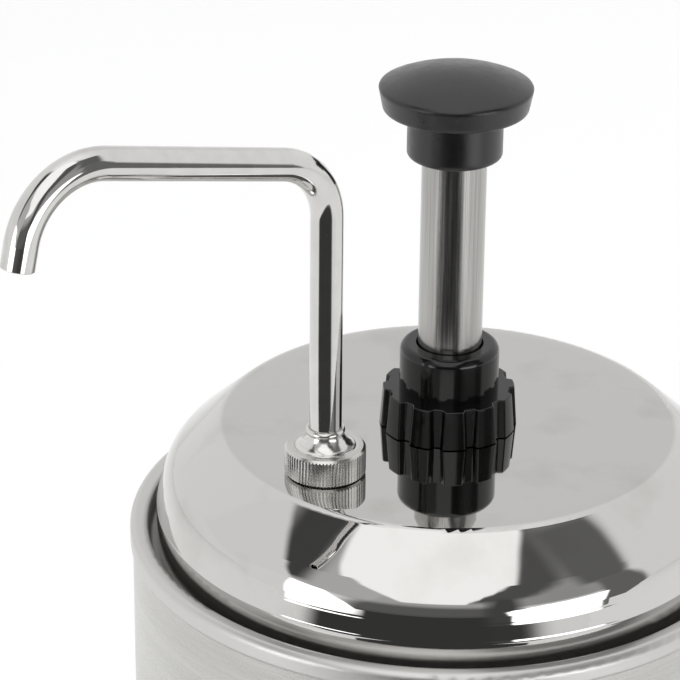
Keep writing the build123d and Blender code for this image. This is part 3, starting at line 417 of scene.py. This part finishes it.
# ======== Pump and fittings ========
# Turned stainless castings, tubes and fittings: clean metal with fine lathe rings.
turned_steel, tree, shader, place = material("turned stainless", metallic=1.0)
ring = lathe_lines(tree, round_about(tree, place), 0.35)
colours(tree, shader, spread(tree, ring, 0, 1), "#cbcac7", "#dad9d7")
tree.links.new(spread(tree, ring, 0.2, 0.3), shader.inputs["Roughness"])
relief(tree, shader, ring, 0.004)
pump = ["pump_cylinder", "valve_body", "suction_tube", "riser_tube", "spout_fitting"]
wear(turned_steel, *pump, "piston", "seal_washer", "seal_nut", "knob_stud")

# Gaskets and O-ring of nitrile rubber, black and dull.
nitrile, tree, shader, place = material("moulded nitrile rubber", ior=1.52)
colours(tree, shader, spread(tree, mottle(tree, place, 3.0), 0, 1), "#1d1d1d", "#282827")
shader.inputs["Roughness"].default_value = 0.6
relief(tree, shader, mottle(tree, place, 0.4), 0.01)
wear(nitrile, "cylinder_gasket", "valve_gasket", "fitting_gasket", "spout_o_ring")

# Moulded cup seal, white and slightly waxy.
seal, tree, shader, place = material("moulded white seal", ior=1.42)
colours(tree, shader, spread(tree, mottle(tree, place, 4.0), 0, 1), "#e4e2da", "#efeee8")
shader.inputs["Roughness"].default_value = 0.45
relief(tree, shader, mottle(tree, place, 0.5), 0.008)
wear(seal, "piston_seal")

# Ground and polished valve balls.
balls, tree, shader, place = material("ground and polished steel", metallic=1.0)
colours(tree, shader, spread(tree, mottle(tree, place, 3.0), 0, 1), "#dad9d6", "#e2e1df")
shader.inputs["Roughness"].default_value = 0.06
relief(tree, shader, mottle(tree, place, 0.5), 0.0005)
wear(balls, "intake_ball", "outlet_ball")

# ======== Return spring ========
# Drawn stainless spring wire coiled at an even pitch, held between the cylinder's lip and the
# cup seal's washer. It is grey with fine drawing lines.
# Lengths are in metres, and COIL_WIRE is the wire's radius.
COIL_WIRE = 0.0009
COIL_TURNS = 10.5
COIL_STEPS = 32
COIL_SIDES = 12
wire, tree, shader, place = material("drawn spring wire", metallic=1.0)
line = mottle(tree, place, 0.5, 3.0)
colours(tree, shader, spread(tree, line, 0, 1), "#b5b4b1", "#c7c6c3")
tree.links.new(spread(tree, line, 0.26, 0.38), shader.inputs["Roughness"])
relief(tree, shader, line, 0.005)

low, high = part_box("return_spring")
middle = (low + high) / 2
reach = (high.x - low.x) / 2 - COIL_WIRE
rise = (high.z - low.z - 2 * COIL_WIRE) / (2 * pi * COIL_TURNS)
points, faces = [], []
last = round(COIL_TURNS * COIL_STEPS)
for step in range(last + 1):
    turn = 2 * pi * step / COIL_STEPS
    out = Vector((cos(turn), sin(turn), 0))
    along = Vector((-reach * sin(turn), reach * cos(turn), rise)).normalized()
    over = along.cross(out)
    centre = Vector((middle.x, middle.y, low.z + COIL_WIRE + rise * turn)) + reach * out
    for side in range(COIL_SIDES):
        angle = 2 * pi * side / COIL_SIDES
        points.append(centre + COIL_WIRE * (cos(angle) * out + sin(angle) * over))
for step in range(last):
    for side in range(COIL_SIDES):
        here, there = step * COIL_SIDES, (step + 1) * COIL_SIDES
        after = (side + 1) % COIL_SIDES
        faces.append((here + side, here + after, there + after, there + side))
faces.append(tuple(reversed(range(COIL_SIDES))))
faces.append(tuple(last * COIL_SIDES + side for side in range(COIL_SIDES)))
mesh = bpy.data.meshes.new("return_spring_coil")
mesh.from_pydata(points, [], faces)
for face in mesh.polygons:
    face.use_smooth = len(face.vertices) == 4
mesh.materials.append(wire)
coil = bpy.data.objects.new("return_spring_coil", mesh)
bpy.context.scene.collection.objects.link(coil)
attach(coil, "lid")
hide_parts("return_spring")
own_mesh(coil)

# ======== Plunger ========
# Stainless tube brushed along its length: fine upright lines and a long soft highlight.
TUBE_LINE = 0.4
tube, tree, shader, place = material("stainless tube, brushed lengthwise", metallic=1.0)
scratch = brushed(tree, place, TUBE_LINE, 45.0, (2,))
colours(tree, shader, spread(tree, scratch, 0, 1), "#9a9997", "#bbbab7")
tree.links.new(spread(tree, scratch, 0.16, 0.26), shader.inputs["Roughness"])
relief(tree, shader, scratch, 0.006)
wear(tube, "plunger_tube")

# Palm knob, compression moulded phenolic out of a polished tool: deep glossy black, with
# fine scratches from hands and cloths.
SCUFF = 3.0
KNOB_ROUNDING = 0.0016
knob, tree, shader, place = material("moulded phenolic, glossy", ior=1.6)
flow = spread(tree, mottle(tree, place, 12.0, 3.0), 0, 1)
colours(tree, shader, flow, "#060606", "#0c0c0c")
scuff = spread(tree, mottle(tree, place, SCUFF, 4.0), 0, 1)
tree.links.new(spread(tree, scuff, 0.26, 0.36, 0, 1), shader.inputs["Roughness"])
rounded = add(tree, "ShaderNodeBevel", {"Radius": KNOB_ROUNDING}, samples=8).outputs[0]
relief(tree, shader, mottle(tree, place, 7.0, 1.0), 0.02, rounded)
wear(knob, "plunger_knob")

# ======== Locking collar ========
# Injection moulded acetal collar that screws on the cylinder's neck. It is glossy black,
# with slight sink marks in its lobes.
collar, tree, shader, place = material("moulded acetal, glossy", ior=1.48)
flow = spread(tree, mottle(tree, place, 9.0, 3.0), 0, 1)
colours(tree, shader, flow, "#070707", "#0d0d0d")
tree.links.new(spread(tree, flow, 0.09, 0.15, 0, 1), shader.inputs["Roughness"])
relief(tree, shader, mottle(tree, place, 5.0, 1.0), 0.02)
wear(collar, "locking_collar")

# ======== Spout and its nut ========
# Union nut turned from bar and knurled, which holds the spout on its fitting. It is bright,
# with rings on its flat top and regular light and dark flutes round its side.
RISER = (-35.355, -35.355)
nut, tree, shader, place = material("turned and knurled stainless", metallic=1.0)
ring = lathe_lines(tree, round_about(tree, place, RISER), 0.45)
colours(tree, shader, spread(tree, ring, 0, 1), "#c6c5c2", "#dbdad7")
tree.links.new(spread(tree, ring, 0.2, 0.28), shader.inputs["Roughness"])
relief(tree, shader, ring, 0.0008)
wear(nut, "spout_nut")

# Ferrule turned from bar and brazed to the spout: its edges are rubbed soft, so it shines
# less sharply than the tube.
FERRULE_ROUNDING = 0.0008
ferrule, tree, shader, place = material("turned ferrule, hand polished", metallic=1.0)
ring = lathe_lines(tree, round_about(tree, place, RISER), 0.3)
colours(tree, shader, spread(tree, ring, 0, 1), "#d2d1ce", "#dedddb")
tree.links.new(spread(tree, ring, 0.13, 0.2), shader.inputs["Roughness"])
rounded = add(tree, "ShaderNodeBevel", {"Radius": FERRULE_ROUNDING}, samples=8).outputs[0]
relief(tree, shader, ring, 0.002, rounded)
wear(ferrule, "spout_ferrule")

# Spout of bent tube, ground and buffed bright.
spout, tree, shader, place = material("bent tube, buffed bright", metallic=1.0)
buff = mottle(tree, place, 6.0, 3.0)
colours(tree, shader, spread(tree, buff, 0, 1), "#d0cfcd", "#d8d7d5")
tree.links.new(spread(tree, buff, 0.05, 0.09), shader.inputs["Roughness"])
relief(tree, shader, mottle(tree, place, 3.0, 2.0), 0.002)
wear(spout, "spout_tube")

# ======== Studio ========
# White paper floor, large enough to be all of the background. The sheet that the steel
# mirrors ends a little in front of the warmer, as on a table with the dark room beyond it.
FLOOR = 6.0
TABLE_EDGE = -0.42
paper, tree, shader, place = material("matt white paper")
shader.inputs["Base Color"].default_value = tint("#fafafa")
shader.inputs["Roughness"].default_value = 0.9
shader.inputs["Specular IOR Level"].default_value = 0.1
sheets = [("floor", -FLOOR, -0.0002, False), ("table", TABLE_EDGE, 0, True)]
for name, front, level, mirrored in sheets:
    sheet_mesh = bpy.data.meshes.new(name)
    near = [(-FLOOR, front, level), (FLOOR, front, level)]
    far = [(FLOOR, FLOOR, level), (-FLOOR, FLOOR, level)]
    sheet_mesh.from_pydata(near + far, [], [(0, 1, 2, 3)])
    sheet_mesh.materials.append(paper)
    sheet = bpy.data.objects.new(name, sheet_mesh)
    sheet.visible_glossy = mirrored
    bpy.context.scene.collection.objects.link(sheet)

# Light tent: a pale room with a white ceiling panel, two softboxes at the horizon, and grey
# cards and black flags between them. Each panel has a level, the softness of its sides in
# degrees, and its corners as zenith angles and bearings. All are fitted.
ROOM = 0.93
CEILING = 1.15
PANELS = [
    (0.8, 14, (48, 160), (48, -160), (78, -165), (78, 165)),
    (0.58, 5, (12, -90), (36, -120), (72, -62), (84, -24), (60, -14)),
    (0.07, 10, (18, -97), (34, -122), (70, -66), (66, -56), (36, -66)),
    (0.9, 3, (37, -116), (45.6, -78.5), (71, -61.5), (86, -90), (70, -115)),
    (0.5, 4, (62, -24), (62, 16), (90, 22), (90, -30)),
    (0.14, 14, (79, -34), (76, 0), (79, 24), (125, 44), (125, -48)),
    (0.05, 9, (98, -50), (96, -10), (98, 26), (125, 44), (125, -54)),
    (0.4, 4, (8, 78), (34, 112), (46, 93), (84, 72), (84, 20), (56, 10)),
    (0.11, 10, (8, 72), (18, 100), (40, 64), (64, 36), (68, 10), (56, 8)),
    (0.08, 8, (60, 20), (62, 30), (84, 30), (108, 29), (108, 17), (84, 15)),
    (0.15, 8, (18, 84), (34, 114), (46, 95), (66, 78), (62, 58)),
    (0.17, 5, (62, 64), (62, 80), (108, 84), (108, 62), (84, 62)),
    (
        1.35, 2.5, (20, -94), (33, -62), (70.6, -16.2), (70.2, 8.6), (33, 40), (18, 90),
        (8, 170), (8, -170),
    ),
    (3, 2, (92.5, 23.5), (87, 37), (86.5, 58), (88, 64.5), (108, 62), (108, 27)),
    (3, 2, (73, -61), (76, -46), (89, -38), (104, -30), (108, -62)),
]
world = bpy.data.worlds.new("light tent")
world.use_nodes = True
bpy.context.scene.world = world
tent = world.node_tree
sky = add(tent, "ShaderNodeTexCoord").outputs["Generated"]


def bearing(zenith, turn):
    """Direction at an angle from straight up and a bearing from the front towards +X."""
    z, t = radians(zenith), radians(turn)
    return Vector((sin(z) * sin(t), -sin(z) * cos(t), cos(z)))


def panel(light, brightness, soft, *corners):
    """Paint a straight-sided panel over the light that is there, with sides soft degrees wide."""
    ends = [bearing(*corner) for corner in corners]
    middle = sum(ends, Vector())
    mask = None
    for one, two in zip(ends, ends[1:] + ends[:1]):
        side = one.cross(two).normalized()
        if side.dot(middle) < 0:
            side = -side
        across = add(tent, "ShaderNodeVectorMath", {0: sky, 1: side}, operation="DOT_PRODUCT")
        half = sin(radians(soft)) / 2
        ends_at = {"Value": across.outputs["Value"], "From Min": -half, "From Max": half}
        inside = add(tent, "ShaderNodeMapRange", ends_at, interpolation_type="SMOOTHSTEP")
        if mask is None:
            mask = inside.outputs[0]
        else:
            both = {0: mask, 1: inside.outputs[0]}
            mask = add(tent, "ShaderNodeMath", both, operation="MULTIPLY").outputs[0]
    mix = {"Factor": mask, "A": light, "B": brightness}
    return add(tent, "ShaderNodeMix", mix).outputs[0]


height = add(tent, "ShaderNodeSeparateXYZ", {0: sky}).outputs["Z"]
overhead = {"Value": height, "From Min": 0.8, "From Max": 0.97, "To Min": ROOM, "To Max": CEILING}
light = add(tent, "ShaderNodeMapRange", overhead).outputs[0]
for brightness, soft, *corners in PANELS:
    light = panel(light, brightness, soft, *corners)
tent.nodes["Background"].inputs["Color"].default_value = tint("#ffffff")
tent.links.new(light, tent.nodes["Background"].inputs["Strength"])

# Broad overhead lamp that whitens the floor and lays a soft shadow round the base.
lamp = bpy.data.lights.new("overhead softbox", "AREA")
lamp.shape = "DISK"
lamp.size = 2.4
lamp.energy = 17
overhead_lamp = bpy.data.objects.new("overhead softbox", lamp)
overhead_lamp.location = (0.2, 0.3, 2.6)
overhead_lamp.visible_glossy = False
overhead_lamp.visible_camera = False
bpy.context.scene.collection.objects.link(overhead_lamp)

# Camera in front of the warmer and above it.
eye = bpy.data.cameras.new("camera")
eye.sensor_width = 36.0
eye.lens = 166.87
camera = bpy.data.objects.new("camera", eye)
camera.location = (0, -0.85093, 0.68939)
back = -Vector((-0.03481083, 0.90482234, -0.42436393))
up = Vector((-0.02606845, 0.42365471, 0.90544857))
right = up.cross(back)
camera.rotation_euler = (
    atan2(up.z, back.z),
    atan2(-right.z, (up.z**2 + back.z**2) ** 0.5),
    atan2(right.y, right.x),
)
bpy.context.scene.collection.objects.link(camera)
bpy.context.scene.camera = camera
bpy.context.scene.view_settings.view_transform = "Standard"
